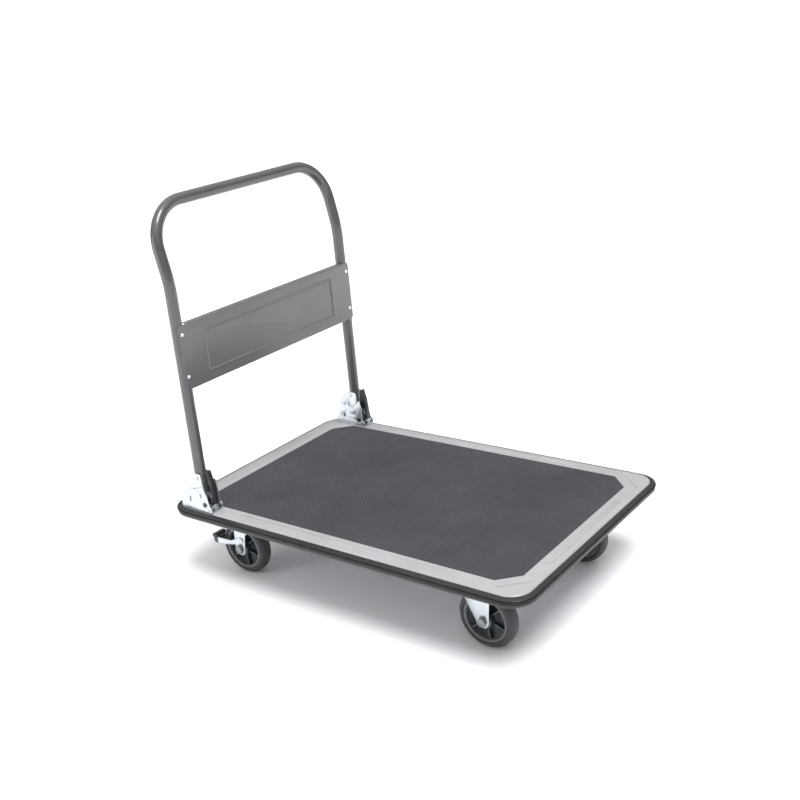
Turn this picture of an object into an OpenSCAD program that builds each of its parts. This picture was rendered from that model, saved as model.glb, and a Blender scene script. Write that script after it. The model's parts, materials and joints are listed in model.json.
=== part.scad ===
// Folding platform cart: a pressed deck on two fixed and two swivel casters, with a tubular push
// handle that folds flat over the deck.
// Frame: X runs from the handle end (-X) to the free end (+X), Y across the deck, Z up.
// Origin: on the floor, under the middle of the platform. Right is -Y, left is +Y.

/* [Platform] */
// Length of the pressed deck
deck_l = 890; // [840:5:960]
// Width of the pressed deck
deck_w = 576; // [560:2:600]
// Height of the deck's top face above the floor
deck_h = 187; // [184:1:200]
// Plan radius of the deck's corners
deck_r = 42; // [36:1:60]
// Thickness of the deck sheet
sheet = 2; // [1.5:0.1:2.5]
// Depth of the deck's turned-down edge
rim_h = 22; // [20:1:26]
// Thickness of the edge bumper, outwards from the deck
bumper_t = 12; // [8:1:16]

/* [Mat] */
// Length of the rubber mat
mat_l = 801; // [780:1:810]
// Width of the rubber mat
mat_w = 497; // [480:1:500]
// Thickness of the mat
mat_t = 2.5; // [2:0.5:4]
// Leg of the mat's cut corners
mat_cut = 39; // [20:1:60]

/* [Handle] */
// Outside diameter of the handle tube
tube_d = 25.4; // [22:0.1:28]
// Wall thickness of the handle tube
tube_wall = 1.6; // [1.2:0.1:2]
// Distance of each leg's centreline from the middle of the cart
leg_y = 270.6; // [268:0.1:272]
// X of the upright legs
leg_x = -361; // [-365:1:-355]
// Height of the top bar's centreline above the floor
bar_z = 848.5; // [800:0.5:900]
// Height at which the legs lean back
bend_z = 692; // [660:1:720]
// Angle that the upper legs lean back by
lean = 12; // [6:1:15]
// Bend radius where the legs lean back
lean_r = 250; // [150:10:300]
// Bend radius of the handle's two top corners
corner_r = 90; // [70:1:110]

/* [Casters] */
// Wheel diameter
wheel_d = 125; // [120:1:125]
// Width of the tyre
tyre_w = 32; // [28:1:34]
// Distance of each caster from the middle of the cart, across
caster_y = 190; // [170:1:200]
// X of the fixed casters' axles
fixed_x = 310; // [290:1:320]
// X of the swivel casters' vertical axes
swivel_x = -300; // [-310:1:-290]
// Trail of the swivel wheels behind their vertical axes
trail = 35; // [30:1:40]

/* [Hidden] */

$fn = 64;
RIGHT = -1;
LEFT = 1;
eps = 0.01;

// Wheels
wheel_r = wheel_d / 2;
rim_r = 50;
hub_half_w = 20.6;
bearing_r = 14;
bearing_w = 8;
axle_r = 5.95;
bearing_bore_r = 6;
fork_gap = 21;
fork_t = 3;

// Under the deck: channels hang from the sheet, and the caster plates bolt up to them
channel_t = 2;
plate_t = 3;
plate_z = deck_h - 27;
plate_l = 106;
plate_w = 86;
plate_shift = -13;
bolt_dx = 80;
bolt_dy = 66;
bolt_r = 4;

// Fold hinge: heights are above the deck, X is from the legs
fold_h = 38;
fold_pin_r = 5;
run_gap = 0.05;
foot_h = 12;
bush_r = 8;
bracket_t = 2;
sector_t = 2;
inner_sector_y = leg_y - tube_d / 2 - sector_t;
outer_sector_y = leg_y + tube_d / 2;
inner_wall_y = inner_sector_y - 0.3 - bracket_t;
outer_wall_y = outer_sector_y + sector_t + 0.3;
bracket_floor = 2.5;
sector_r = 50;
rivet_up = 39;
stop_x = 17.2;
stop_h = 17;
stop_r = 4;

// Release levers: hinged at the front of the bracket
lever_x = 30;
lever_h = 10;
lever_pin_r = 3.5;
lever_w = 12;

// ---------- helpers ----------

// Mirrors its children to the side s, drawn on the left (+Y)
module on_side(s) {
    mirror([0, s < 0 ? 1 : 0, 0]) children();
}

// Draws its children in the bracket's own frame: X from the legs, Y absolute, Z above the deck
module at_hinge(s) {
    on_side(s) translate([leg_x, 0, deck_h]) children();
}

// Extrudes an outline drawn in X and Z between y0 and y0 + t
module side_plate(y0, t) {
    translate([0, y0 + t, 0]) rotate([90, 0, 0]) linear_extrude(t) children();
}

// Round bar along Y
module bar_y(r, y0, length) {
    translate([0, y0 + length, 0]) rotate([90, 0, 0]) cylinder(r = r, h = length);
}

// Hexagon prism along Z, across-flats width af
module hex(af, h) {
    cylinder(r = af / 2 / cos(30), h = h, $fn = 6);
}

module rounded_rect(l, w, r) {
    square([l - 2 * r, w], center = true);
    square([l, w - 2 * r], center = true);
    for (x = [-1, 1], y = [-1, 1]) translate([x * (l / 2 - r), y * (w / 2 - r)]) circle(r);
}

// Slot outline between two points on the X axis
module slot(length, w) {
    square([length - w, w], center = true);
    for (x = [-1, 1]) translate([x * (length - w) / 2, 0]) circle(d = w);
}

// Sweeps a section (X outwards from the edge, Y up) round a rounded rectangle
module edge_sweep(l, w, r) {
    for (a = [0, 180]) rotate(a) {
        translate([r - l / 2, w / 2, 0]) rotate([90, 0, 90]) linear_extrude(l - 2 * r) children();
        translate([l / 2 - r, w / 2 - r, 0]) rotate_extrude(angle = 90) translate([r, 0]) children();
        rotate(-90) translate([r - w / 2, l / 2, 0]) rotate([90, 0, 90])
            linear_extrude(w - 2 * r) children();
        rotate(90) translate([w / 2 - r, l / 2 - r, 0]) rotate_extrude(angle = 90)
            translate([r, 0]) children();
    }
}

// ---------- platform ----------

bead_w = 12;
bead_h = 1.2;
side_bead_l = 524;
end_bead_l = 300;
end_bead_x = 424;
corner_bead_l = 72;

module beads() {
    for (s = [-1, 1]) translate([0, s * (mat_w / 2 + 18), 0]) slot(side_bead_l, bead_w);
    for (s = [-1, 1]) translate([s * end_bead_x, 0, 0]) rotate(90) slot(end_bead_l, bead_w);
    for (s = [-1, 1]) translate([407, s * 243, 0]) rotate(s * -45) slot(corner_bead_l, 4);
}

module caster_bolt_places() {
    for (x = [fixed_x, swivel_x - plate_shift], y = [-caster_y, caster_y], i = [-1, 1], j = [-1, 1])
        translate([x + plate_shift + i * bolt_dx / 2, y + j * bolt_dy / 2, 0]) children();
}

bracket_bolt_x = [-44, -14];
module bracket_bolt_places() {
    for (s = [RIGHT, LEFT], x = bracket_bolt_x) at_hinge(s) translate([x, leg_y, 0]) children();
}

// Solid block the size of the deck, in by a margin, from z0 up to z1 relative to the deck's top
module deck_block(margin, z0, z1) {
    translate([0, 0, deck_h + z0]) linear_extrude(z1 - z0)
        rounded_rect(deck_l - 2 * margin, deck_w - 2 * margin, deck_r - margin);
}

module deck_pan() {
    return_w = 12;
    color("silver") difference() {
        union() {
            deck_block(0, -rim_h, 0);
            translate([0, 0, deck_h - 0.5]) linear_extrude(bead_h + 0.5) beads();
        }
        deck_block(sheet, sheet - rim_h, -sheet);
        deck_block(return_w, -rim_h - 1, sheet - rim_h + 1);
        bracket_bolt_places() translate([0, 0, -10]) cylinder(r = 3, h = 20);
    }
}

module deck_mat() {
    hl = mat_l / 2;
    hw = mat_w / 2;
    color("dimgray") translate([5, 0, deck_h]) linear_extrude(mat_t) polygon([
        [-hl, -hw + mat_cut], [-hl + mat_cut, -hw], [hl - mat_cut, -hw], [hl, -hw + mat_cut],
        [hl, hw - mat_cut], [hl - mat_cut, hw], [-hl + mat_cut, hw], [-hl, hw - mat_cut]]);
}

// Bumper section: a flat back, a rounded face and one thin rib along it
module bumper_section() {
    round_r = 6;
    face = bumper_t - 0.6;
    crest = -2;
    intersection() {
        union() {
            translate([0, -rim_h]) square([face - round_r, rim_h + crest]);
            translate([face - round_r, round_r - rim_h]) circle(round_r);
            translate([face - round_r, crest - round_r]) circle(round_r);
            translate([face - round_r, round_r - rim_h]) square([round_r, rim_h + crest - 2 * round_r]);
            translate([bumper_t - 1, -9]) circle(1);
        }
        translate([0, -2 * rim_h]) square([2 * bumper_t, 4 * rim_h]);
    }
}

module edge_bumper() {
    color("#3a3a3d") translate([0, 0, deck_h]) edge_sweep(deck_l, deck_w, deck_r) bumper_section();
}

channel_web_w = 116;
channel_depth = deck_h - sheet - plate_z;
module channel_section(web, depth) {
    t = channel_t;
    translate([-web / 2, 0]) square([web, t]);
    for (s = [-1, 1]) translate([s * (web / 2 - t / 2) - t / 2, 0]) square([t, depth]);
    for (s = [-1, 1]) translate([s * (web / 2 + 5) - 7, depth - t]) square([14, t]);
}

module cross_channels() {
    length = deck_w - 52;
    color("silver") difference() {
        for (x = [fixed_x + plate_shift, swivel_x]) translate([x, length / 2, plate_z])
            rotate([90, 0, 0]) linear_extrude(length) channel_section(channel_web_w, channel_depth);
        caster_bolt_places() translate([0, 0, plate_z - 5]) cylinder(r = bolt_r + 0.3, h = 10);
    }
}

module long_channels() {
    x0 = swivel_x + channel_web_w / 2 + 14;
    x1 = fixed_x + plate_shift - channel_web_w / 2 - 14;
    depth = 20;
    color("silver") for (y = [-95, 95]) translate([x0, y, deck_h - sheet - depth])
        rotate([90, 0, 90]) linear_extrude(x1 - x0) channel_section(40, depth);
}

module caster_bolts() {
    color("gainsboro") caster_bolt_places() translate([0, 0, plate_z - plate_t]) {
        translate([0, 0, -5]) hex(13, 5);
        translate([0, 0, -eps]) cylinder(r = bolt_r, h = 16);
    }
}

module caster_nuts() {
    color("gainsboro") caster_bolt_places() translate([0, 0, plate_z + channel_t])
        difference() {
            hex(13, 6.5);
            translate([0, 0, -1]) cylinder(r = bolt_r, h = 9);
        }
}

// ---------- fold hinge ----------

// Outline of the bracket's wall on the outer side of the leg
module outer_wall_outline() {
    polygon([[-55, 0], [-55, 22], [-34, 42], [18, 60], [27, 37], [31, 17], [37, 9], [37, 0]]);
}

// Outline of the bracket's wall on the inner side of the leg
module inner_wall_outline() {
    polygon([[-55, 0], [-55, 15], [-20, 36], [13, 58], [25, 70], [29, 50], [30, 17], [37, 9], [37, 0]]);
}

module wall_holes(y0) {
    side_plate(y0 - 1, bracket_t + 2) {
        translate([0, fold_h]) circle(fold_pin_r);
        translate([stop_x, stop_h]) circle(stop_r);
        translate([lever_x, lever_h]) circle(lever_pin_r);
        translate([-26, 24]) rotate(75) slot(14, 5.5);
    }
}

module bracket(s) {
    color("gainsboro") at_hinge(s) difference() {
        union() {
            side_plate(inner_wall_y, bracket_t) inner_wall_outline();
            side_plate(outer_wall_y, bracket_t) outer_wall_outline();
            translate([-55, inner_wall_y, 0])
                cube([92, outer_wall_y + bracket_t - inner_wall_y, bracket_floor]);
        }
        wall_holes(inner_wall_y);
        wall_holes(outer_wall_y);
        for (x = bracket_bolt_x) translate([x, leg_y, -1]) cylinder(r = 3, h = 5);
    }
}

module bracket_right() { bracket(RIGHT); }
module bracket_left() { bracket(LEFT); }

// Flat-headed bolts up through the bracket floor, with the nut under the deck sheet
module bracket_bolts() {
    color("gainsboro") bracket_bolt_places() {
        translate([0, 0, -12]) cylinder(r = 3, h = 14.5);
        translate([0, 0, bracket_floor]) cylinder(r = 5.5, h = 2);
        translate([0, 0, -sheet - 5]) difference() {
            hex(10, 5);
            translate([0, 0, -1]) cylinder(r = 3 - eps, h = 7);
        }
    }
}

module headed_pin(x, h, r, head_r, head_t) {
    span = outer_wall_y + bracket_t - inner_wall_y;
    translate([x, 0, h]) {
        bar_y(r, inner_wall_y, span);
        bar_y(head_r, inner_wall_y + span - eps, head_t);
        bar_y(head_r, inner_wall_y - head_t + eps, head_t);
    }
}

module fold_pins() {
    color("gainsboro") for (s = [RIGHT, LEFT]) at_hinge(s) headed_pin(0, fold_h, fold_pin_r, 8.5, 2);
}

module stop_pins() {
    color("gainsboro") for (s = [RIGHT, LEFT]) at_hinge(s) headed_pin(stop_x, stop_h, stop_r, 5.5, 1.2);
}

module lever_pins() {
    color("gainsboro") for (s = [RIGHT, LEFT]) at_hinge(s)
        headed_pin(lever_x, lever_h, lever_pin_r, 5.5, 1.2);
}

spring_wire_r = 0.8;
spring_coils = 4;
module lever_springs() {
    coil_r = lever_pin_r + 0.4 + spring_wire_r;
    y0 = leg_y - lever_w / 2 - 0.5 - spring_wire_r;
    color("silver") for (s = [RIGHT, LEFT]) at_hinge(s) translate([lever_x, 0, lever_h]) {
        for (i = [0 : spring_coils - 1]) translate([0, y0 - i * 1.9 * spring_wire_r, 0])
            rotate([90, 0, 0]) rotate_extrude() translate([coil_r, 0]) circle(spring_wire_r, $fn = 24);
        translate([coil_r, y0 - 1.9 * spring_wire_r, -6]) cylinder(r = spring_wire_r, h = 6, $fn = 24);
    }
}

// Sector plates turn with the handle: a round back edge about the fold pin
module sector_outline() {
    difference() {
        union() {
            intersection() {
                circle(sector_r);
                polygon([[12, 0], [12, 60], [-60, 60], [-60, -18], [-20, -20], [0, -20]]);
            }
            intersection() {
                circle(sector_r);
                polygon([[0, 0], [18.2, 0], [13, 60], [0, 60]]);
            }
            circle(17);
        }
        circle(fold_pin_r + run_gap);
        translate([0, rivet_up]) circle(3);
        for (x = [-21, -9]) translate([x, 10 - x / 6]) circle(2.5);
    }
}

module sector(s, y0) {
    color("gainsboro") at_hinge(s) translate([0, 0, fold_h]) side_plate(y0, sector_t) sector_outline();
}

module sector_right_outer() { sector(RIGHT, outer_sector_y); }
module sector_right_inner() { sector(RIGHT, inner_sector_y); }
module sector_left_outer() { sector(LEFT, outer_sector_y); }
module sector_left_inner() { sector(LEFT, inner_sector_y); }

// One rivet a side holds both sector plates to the leg
module sector_rivets() {
    color("gainsboro") for (s = [RIGHT, LEFT]) at_hinge(s) translate([0, 0, fold_h + rivet_up]) {
        bar_y(3, inner_sector_y, tube_d + 2 * sector_t);
        bar_y(6, outer_sector_y + sector_t - eps, 2);
    }
}

module foot_bushes() {
    color("white") for (s = [RIGHT, LEFT]) at_hinge(s) translate([0, 0, fold_h]) difference() {
        bar_y(bush_r, leg_y - tube_d / 2, tube_d);
        bar_y(fold_pin_r + run_gap, leg_y - tube_d, 2 * tube_d);
    }
}

// Wedge on the front of each foot, which the lever's nose locks under
module latch_catches() {
    front = tube_d / 2 - 0.6;
    color("gainsboro") for (s = [RIGHT, LEFT]) at_hinge(s) difference() {
        side_plate(leg_y - 4, 8) polygon([[front, 24.6], [19, 32.2], [19, 37], [front, 42]]);
        translate([0, leg_y, 0]) cylinder(d = tube_d, h = 60);
    }
}

// ---------- release levers ----------

module lever_blade_outline() {
    union() {
        translate([lever_x, lever_h]) circle(7);
        polygon([[23, 10], [35, 10], [34, 46], [31.6, 68], [26.8, 88], [24, 88], [23, 50]]);
        polygon([[16, 27], [24, 24], [24, 38.2], [22.4, 35.3], [16, 27.7]]);
    }
}

module lever(s) {
    color("gainsboro") at_hinge(s) difference() {
        side_plate(leg_y - 4.5, 9) lever_blade_outline();
        side_plate(leg_y - 10, 20) {
            translate([lever_x, lever_h]) circle(lever_pin_r + run_gap);
            translate([30, 37]) rotate(85) slot(13, 6);
        }
    }
}

module lever_right() { lever(RIGHT); }
module lever_left() { lever(LEFT); }

module lever_sleeve(s) {
    color("#22262a") at_hinge(s) difference() {
        side_plate(leg_y - lever_w / 2, lever_w) polygon([
            [21, 48], [31, 46], [32.5, 18], [36, 18], [36.5, 46], [34, 70], [28, 93], [25, 94.5], [21.5, 93]]);
        side_plate(leg_y - 4.5, 9) lever_blade_outline();
    }
}

module lever_sleeve_right() { lever_sleeve(RIGHT); }
module lever_sleeve_left() { lever_sleeve(LEFT); }

// ---------- handle ----------

// Centreline of the handle swept with radius r: one leg, its lean and half of the top, mirrored
module handle_sweep(r) {
    rise = lean_r * tan(lean / 2);
    bend_top_x = lean_r * (1 - cos(lean));
    bend_top_z = bend_z - rise + lean_r * sin(lean);
    slant = (bar_z - bend_top_z) / cos(lean);
    foot_z = deck_h + foot_h;
    for (s = [RIGHT, LEFT]) on_side(s) translate([leg_x, leg_y, 0]) {
        translate([0, 0, foot_z]) cylinder(r = r, h = bend_z - rise - foot_z);
        translate([-lean_r, 0, bend_z - rise]) rotate([90, 0, 0])
            rotate_extrude(angle = lean) translate([lean_r, 0]) circle(r);
        translate([-bend_top_x, 0, bend_top_z]) rotate([0, -lean, 0]) {
            cylinder(r = r, h = slant - corner_r);
            translate([0, -corner_r, slant - corner_r]) rotate([90, 0, 90])
                rotate_extrude(angle = 90) translate([corner_r, 0]) circle(r);
            translate([0, -leg_y, slant]) rotate([-90, 0, 0]) cylinder(r = r, h = leg_y - corner_r);
        }
    }
}

module handle_tube() {
    color("gray") difference() {
        handle_sweep(tube_d / 2);
        handle_sweep(tube_d / 2 - tube_wall);
        for (s = [RIGHT, LEFT]) at_hinge(s) {
            translate([0, 0, foot_h - 1]) translate([0, leg_y, 0])
                cylinder(r = tube_d / 2 - tube_wall, h = 3);
            translate([0, 0, fold_h]) bar_y(bush_r, leg_y - tube_d, 2 * tube_d);
            translate([0, 0, fold_h + rivet_up]) bar_y(3, leg_y - tube_d, 2 * tube_d);
        }
        for (s = [RIGHT, LEFT], z = panel_rivet_z) on_side(s)
            translate([leg_x, leg_y, z]) rotate([0, 90, 0]) cylinder(r = 2.5, h = tube_d);
    }
}

panel_x = leg_x + tube_d / 2;
panel_half = 280;
panel_z0 = 466;
panel_z1 = 606;
panel_t = 1.2;
panel_lip = 14;
panel_ridge = 1.6;
panel_rivet_z = [493.5, 585];

module handle_panel() {
    mid = (panel_z0 + panel_z1) / 2;
    flange_half = leg_y - tube_d / 2 - 3;
    color("gray") difference() {
        union() {
            translate([panel_x, 0, mid]) rotate([90, 0, 90]) linear_extrude(panel_t)
                rounded_rect(2 * panel_half, panel_z1 - panel_z0, 8);
            for (z = [panel_z0, panel_z1 - panel_t]) translate([panel_x - panel_lip, -flange_half, z])
                cube([panel_lip + eps, 2 * flange_half, panel_t]);
            translate([panel_x + panel_t - eps, 0, mid]) rotate([90, 0, 90]) linear_extrude(panel_ridge)
                difference() {
                    rounded_rect(424, 96, 5);
                    rounded_rect(415, 87, 3);
                }
        }
        for (y = [-leg_y, leg_y], z = panel_rivet_z)
            translate([panel_x - 1, y, z]) rotate([0, 90, 0]) cylinder(r = 2.5, h = 5);
    }
}

module panel_rivets() {
    color("white") for (y = [-leg_y, leg_y], z = panel_rivet_z)
        translate([panel_x - 6, y, z]) rotate([0, 90, 0]) {
            cylinder(r = 2.5, h = 7 + panel_t);
            translate([0, 0, 6 + panel_t]) cylinder(r1 = 4.5, r2 = 3, h = 1.6);
        }
}

// ---------- wheels ----------

// Draws its children in a wheel's own frame: the origin on its axle, spinning about Y
module at_wheel(s, x) {
    on_side(s) translate([x, caster_y, wheel_r]) children();
}

module tyre(s, x) {
    shoulder = 7;
    color("#3b3b40") at_wheel(s, x) rotate([90, 0, 0]) rotate_extrude() difference() {
        union() {
            translate([rim_r, -tyre_w / 2]) square([wheel_r - rim_r - shoulder, tyre_w]);
            translate([wheel_r - shoulder - eps, -tyre_w / 2 + shoulder])
                square([shoulder + eps, tyre_w - 2 * shoulder]);
            for (i = [-1, 1]) translate([wheel_r - shoulder, i * (tyre_w / 2 - shoulder)])
                circle(shoulder);
        }
        translate([0, -tyre_w]) square([rim_r, 2 * tyre_w]);
    }
}

hub_ribs = 6;
module hub(s, x) {
    rim_t = 6;
    web_t = 6;
    boss_r = 18;
    rib_w = 22;
    color("#26292e") at_wheel(s, x) difference() {
        union() {
            rotate([90, 0, 0]) rotate_extrude() {
                translate([rim_r - rim_t, -tyre_w / 2 + 1]) square([rim_t, tyre_w - 2]);
                translate([boss_r - 1, -web_t / 2]) square([rim_r - rim_t - boss_r + 2, web_t]);
                translate([bearing_r - 4, -hub_half_w + 1]) square([boss_r - bearing_r + 4, 2 * hub_half_w - 2]);
            }
            for (i = [0 : hub_ribs - 1]) rotate([0, i * 360 / hub_ribs + 20, 0])
                translate([boss_r - 1, -rib_w / 2, -1.5]) cube([rim_r - rim_t - boss_r + 2, rib_w, 3]);
        }
        bar_y(bearing_r - 2, -30, 60);
        for (i = [-1, 1]) bar_y(bearing_r, i * (hub_half_w - bearing_w / 2) - bearing_w / 2, bearing_w);
    }
}

module bearings(s, x) {
    color("silver") at_wheel(s, x) for (i = [-1, 1])
        translate([0, i * (hub_half_w - bearing_w / 2) + bearing_w / 2, 0]) rotate([90, 0, 0])
            difference() {
                cylinder(r = bearing_r, h = bearing_w);
                translate([0, 0, -1]) cylinder(r = bearing_bore_r, h = bearing_w + 2);
            }
}

// Axle bolt along Y, its head outside the fork's outer leg
module axle_bolt(s, x) {
    outer = fork_gap + fork_t;
    color("gainsboro") at_wheel(s, x) {
        bar_y(axle_r, -outer - 8, 2 * outer + 8);
        translate([0, outer, 0]) rotate([-90, 0, 0]) translate([0, 0, -eps]) hex(18, 6);
    }
}

module axle_nut(s, x) {
    outer = fork_gap + fork_t;
    color("gainsboro") at_wheel(s, x) translate([0, -outer, 0]) rotate([90, 0, 0]) difference() {
        hex(18, 7);
        translate([0, 0, -1]) cylinder(r = axle_r, h = 10);
    }
}

// ---------- fixed casters ----------

module fixed_fork(s) {
    top = plate_z - wheel_r;
    color("gainsboro") difference() {
        at_wheel(s, fixed_x) difference() {
            union() {
                for (y = [-fork_gap - fork_t, fork_gap]) side_plate(y, fork_t) {
                    circle(14);
                    polygon([[-13.5, -4], [-64, top - 1], [28, top - 1], [17, 38], [13.8, 2]]);
                }
                translate([plate_shift, 0, top - plate_t / 2])
                    cube([plate_l, plate_w, plate_t], center = true);
            }
            bar_y(axle_r, -40, 80);
        }
        caster_bolt_places() translate([0, 0, plate_z - 10]) cylinder(r = bolt_r, h = 20);
    }
}

module fixed_fork_right() { fixed_fork(RIGHT); }
module fixed_fork_left() { fixed_fork(LEFT); }
module fixed_axles() { for (s = [RIGHT, LEFT]) axle_bolt(s, fixed_x); }
module fixed_axle_nuts() { for (s = [RIGHT, LEFT]) axle_nut(s, fixed_x); }
module tyre_fixed_right() { tyre(RIGHT, fixed_x); }
module tyre_fixed_left() { tyre(LEFT, fixed_x); }
module hub_fixed_right() { hub(RIGHT, fixed_x); }
module hub_fixed_left() { hub(LEFT, fixed_x); }
module bearings_fixed_right() { bearings(RIGHT, fixed_x); }
module bearings_fixed_left() { bearings(LEFT, fixed_x); }

// ---------- swivel casters ----------

wheel_x = swivel_x - trail;
race_r = 24;
race_z = plate_z - plate_t - 5;
ball_r = 2.5;
ball_count = 18;
crown_z = race_z - 7;
crown_t = 3;
king_r = 6;

module at_swivel(s) {
    on_side(s) translate([swivel_x, caster_y, 0]) children();
}

module swivel_plate(s) {
    color("gainsboro") difference() {
        at_swivel(s) union() {
            translate([0, 0, plate_z - plate_t / 2]) cube([plate_l, plate_w, plate_t], center = true);
            translate([0, 0, race_z]) difference() {
                cylinder(r = race_r + 8, h = plate_z - plate_t - race_z + eps);
                translate([0, 0, -1]) cylinder(r = race_r - 6, h = 4);
            }
        }
        at_swivel(s) {
            translate([0, 0, race_z]) rotate_extrude() translate([race_r, 0]) circle(ball_r + 0.1);
            translate([0, 0, plate_z - 30]) cylinder(r = king_r, h = 40);
        }
        caster_bolt_places() translate([0, 0, plate_z - 10]) cylinder(r = bolt_r, h = 20);
    }
}

module kingpin(s) {
    color("gainsboro") at_swivel(s) {
        translate([0, 0, crown_z - 6]) cylinder(r = king_r, h = plate_z - crown_z + 6);
        translate([0, 0, crown_z - 8]) cylinder(r = 11, h = 4);
    }
}

module swivel_balls(s) {
    color("silver") at_swivel(s) for (i = [0 : ball_count - 1]) rotate(i * 360 / ball_count)
        translate([race_r, 0, race_z]) sphere(ball_r, $fn = 24);
}

brake_pin_x = 6;
brake_pin_z = 24;
module swivel_leg_outline() {
    top = crown_z - wheel_r + 1;
    circle(14);
    polygon([[-14, 0], [-13, 42], [2, top], [trail + 24, top], [trail + 16, 68], [20, 38], [14, 0]]);
}

module swivel_fork(s) {
    color("gainsboro") difference() {
        union() {
            at_wheel(s, wheel_x) for (y = [-fork_gap - fork_t, fork_gap])
                side_plate(y, fork_t) swivel_leg_outline();
            at_swivel(s) translate([0, 0, crown_z]) cylinder(r = race_r + 8, h = crown_t);
            at_swivel(s) translate([0, 0, crown_z + crown_t - eps]) difference() {
                cylinder(r = race_r + 5, h = 3);
                translate([0, 0, -1]) cylinder(r = race_r - 5, h = 6);
            }
            at_wheel(s, wheel_x) for (y = [-fork_gap - fork_t - 3.6, fork_gap + fork_t - eps])
                translate([brake_pin_x, 0, brake_pin_z]) bar_y(4, y, 3.6);
        }
        at_swivel(s) translate([0, 0, race_z]) rotate_extrude() translate([race_r, 0])
            circle(ball_r + 0.1);
        at_swivel(s) translate([0, 0, crown_z - 10]) cylinder(r = king_r + 0.05, h = 30);
        at_wheel(s, wheel_x) bar_y(axle_r, -40, 80);
    }
}

// Brake stirrup: an arm outside each fork leg and a web behind the wheel that carries the shoe
module brake_lever(s) {
    arm_y = fork_gap + fork_t + 0.5;
    arm_t = 2.5;
    color("gainsboro") at_wheel(s, wheel_x) difference() {
        union() {
            for (y = [-arm_y - arm_t, arm_y]) side_plate(y, arm_t) {
                translate([brake_pin_x, brake_pin_z]) circle(7.5);
                polygon([[2, 30.8], [9, 18.6], [-16, 10], [-66, 1], [-78, 4], [-78, 14], [-66, 17], [-22, 19]]);
            }
            side_plate(-arm_y - arm_t, 2 * (arm_y + arm_t))
                polygon([[-70, 2], [-78, 4], [-78, 12], [-67.6, 14], [-66.2, 11]]);
        }
        translate([brake_pin_x, 0, brake_pin_z]) bar_y(4.05, -40, 80);
    }
}

module brake_pedal(s) {
    half = 15;
    color("#22262a") at_wheel(s, wheel_x) side_plate(-half, 2 * half)
        polygon([[-78, 3.5], [-78, 12.5], [-85, 16], [-95, 14], [-98, 9.5], [-93, 5], [-86, 2.5]]);
}

module swivel_plate_right() { swivel_plate(RIGHT); }
module swivel_plate_left() { swivel_plate(LEFT); }
module kingpin_right() { kingpin(RIGHT); }
module kingpin_left() { kingpin(LEFT); }
module swivel_balls_right() { swivel_balls(RIGHT); }
module swivel_balls_left() { swivel_balls(LEFT); }
module swivel_fork_right() { swivel_fork(RIGHT); }
module swivel_fork_left() { swivel_fork(LEFT); }
module axle_swivel_right() { axle_bolt(RIGHT, wheel_x); }
module axle_swivel_left() { axle_bolt(LEFT, wheel_x); }
module axle_nut_right() { axle_nut(RIGHT, wheel_x); }
module axle_nut_left() { axle_nut(LEFT, wheel_x); }
module tyre_swivel_right() { tyre(RIGHT, wheel_x); }
module tyre_swivel_left() { tyre(LEFT, wheel_x); }
module hub_swivel_right() { hub(RIGHT, wheel_x); }
module hub_swivel_left() { hub(LEFT, wheel_x); }
module bearings_swivel_right() { bearings(RIGHT, wheel_x); }
module bearings_swivel_left() { bearings(LEFT, wheel_x); }
module brake_lever_right() { brake_lever(RIGHT); }
module brake_lever_left() { brake_lever(LEFT); }
module brake_pedal_right() { brake_pedal(RIGHT); }
module brake_pedal_left() { brake_pedal(LEFT); }

deck_pan();
deck_mat();
edge_bumper();
cross_channels();
long_channels();
caster_bolts();
caster_nuts();
bracket_right();
bracket_left();
bracket_bolts();
fold_pins();
stop_pins();
lever_pins();
lever_springs();
handle_tube();
handle_panel();
panel_rivets();
foot_bushes();
latch_catches();
sector_right_outer();
sector_right_inner();
sector_left_outer();
sector_left_inner();
sector_rivets();
lever_right();
lever_left();
lever_sleeve_right();
lever_sleeve_left();
fixed_fork_right();
fixed_fork_left();
fixed_axles();
fixed_axle_nuts();
tyre_fixed_right();
tyre_fixed_left();
hub_fixed_right();
hub_fixed_left();
bearings_fixed_right();
bearings_fixed_left();
swivel_plate_right();
swivel_plate_left();
kingpin_right();
kingpin_left();
swivel_balls_right();
swivel_balls_left();
swivel_fork_right();
swivel_fork_left();
axle_swivel_right();
axle_swivel_left();
axle_nut_right();
axle_nut_left();
tyre_swivel_right();
tyre_swivel_left();
hub_swivel_right();
hub_swivel_left();
bearings_swivel_right();
bearings_swivel_left();
brake_lever_right();
brake_lever_left();
brake_pedal_right();
brake_pedal_left();
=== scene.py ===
import json
import logging
import math
from dataclasses import dataclass, field, replace
from enum import Enum
from typing import Callable, Iterable, Optional, Sequence, Union

import bmesh
import bpy
from bmesh.types import BMEdge, BMesh, BMFace, BMVert
from bpy.types import Node, NodeSocket, NodeTree
from mathutils import Matrix, Vector


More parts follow.
